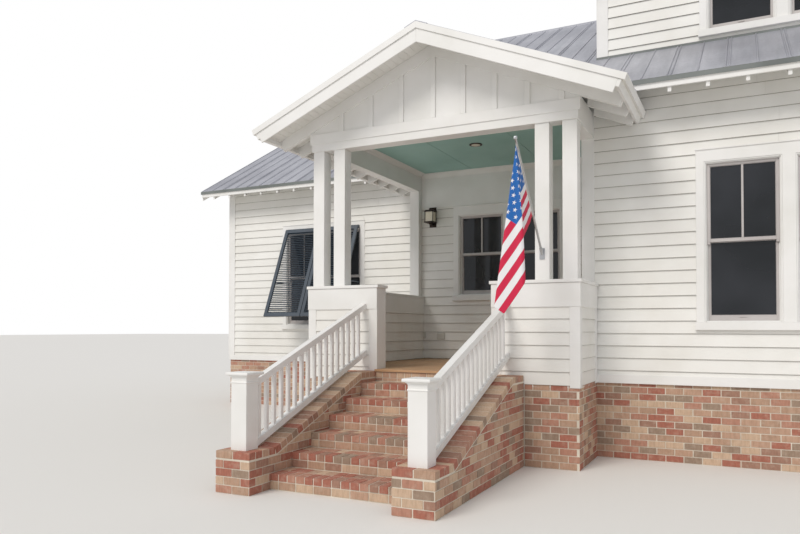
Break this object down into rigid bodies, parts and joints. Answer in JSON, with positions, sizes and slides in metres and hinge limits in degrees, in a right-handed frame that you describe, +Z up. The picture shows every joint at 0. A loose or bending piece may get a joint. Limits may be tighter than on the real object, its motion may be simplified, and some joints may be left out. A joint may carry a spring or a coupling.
{
  "type": "bungalow",
  "caption": "White lap-sided timber bungalow with a gabled entry porch, paired square columns, brick steps, metal roof and shed dormer.",
  "frame": {"origin": "ground level under the middle of the whole house, steps and eaves included", "axes": "+Z up, -Y towards the street front with the porch, +X to the right seen from the front"},
  "size_m": [13.569, 13.651, 7.6416],
  "materials": {
    "brick": "red and brown brick with cream mortar",
    "floor_boards": "varnished floor boards",
    "porch_boards": "tan painted porch boards",
    "white_siding": "white painted lap siding",
    "white_trim": "white painted trim",
    "roof_metal": "crimped galvanised sheet",
    "ceiling_paint": "blue-green painted boards",
    "sash_paint": "grey-taupe painted sashes",
    "shutter_paint": "charcoal painted louvres",
    "window_pane": "window glass",
    "door_paint": "stained panelled door",
    "pole_metal": "brushed aluminium",
    "flag_cloth": "woven nylon, red, white and blue",
    "lantern_metal": "dark bronze paint"
  },
  "bodies": {
    "root": {"foundation": "brick", "brick_steps": "brick", "cheek_walls": "brick", "house_floor": "floor_boards", "upper_floor": "floor_boards", "porch_floor": "porch_boards", "right_front_wall": "white_siding", "porch_back_wall": "white_siding", "porch_side_wall": "white_siding", "wing_front_wall": "white_siding", "wing_end_wall": "white_siding", "right_end_wall": "white_siding", "rear_wall": "white_siding", "left_gable_wall": "white_siding", "dormer_front_wall": "white_siding", "dormer_side_walls": "white_siding", "pedestals": "white_siding", "knee_walls": "white_siding", "porch_gable_wall": "white_siding", "skirt_boards": "white_trim", "corner_boards": "white_trim", "pedestal_caps": "white_trim", "columns": "white_trim", "pilaster": "white_trim", "front_beam": "white_trim", "side_beams": "white_trim", "gable_battens": "white_trim", "porch_rake_boards": "white_trim", "porch_rafter_tails": "white_trim", "porch_eave_boards": "white_trim", "eave_rafter_tails": "white_trim", "fascias": "white_trim", "gable_rake_boards": "white_trim", "window_casings": "white_trim", "window_sills": "white_trim", "newels": "white_trim", "left_railing": "white_trim", "right_railing": "white_trim", "ceiling_light": "white_trim", "porch_roof": "roof_metal", "main_roof_front": "roof_metal", "main_roof_upper": "roof_metal", "main_roof_rear": "roof_metal", "wing_roof": "roof_metal", "dormer_roof": "roof_metal", "ridge_caps": "roof_metal", "porch_ceiling": "ceiling_paint", "window_sashes": "sash_paint", "wing_shutters": "shutter_paint", "window_glass": "window_pane", "front_door": "door_paint", "flagpole": "pole_metal", "flag": "flag_cloth", "wall_lantern": "lantern_metal"}
  },
  "joints": []
}
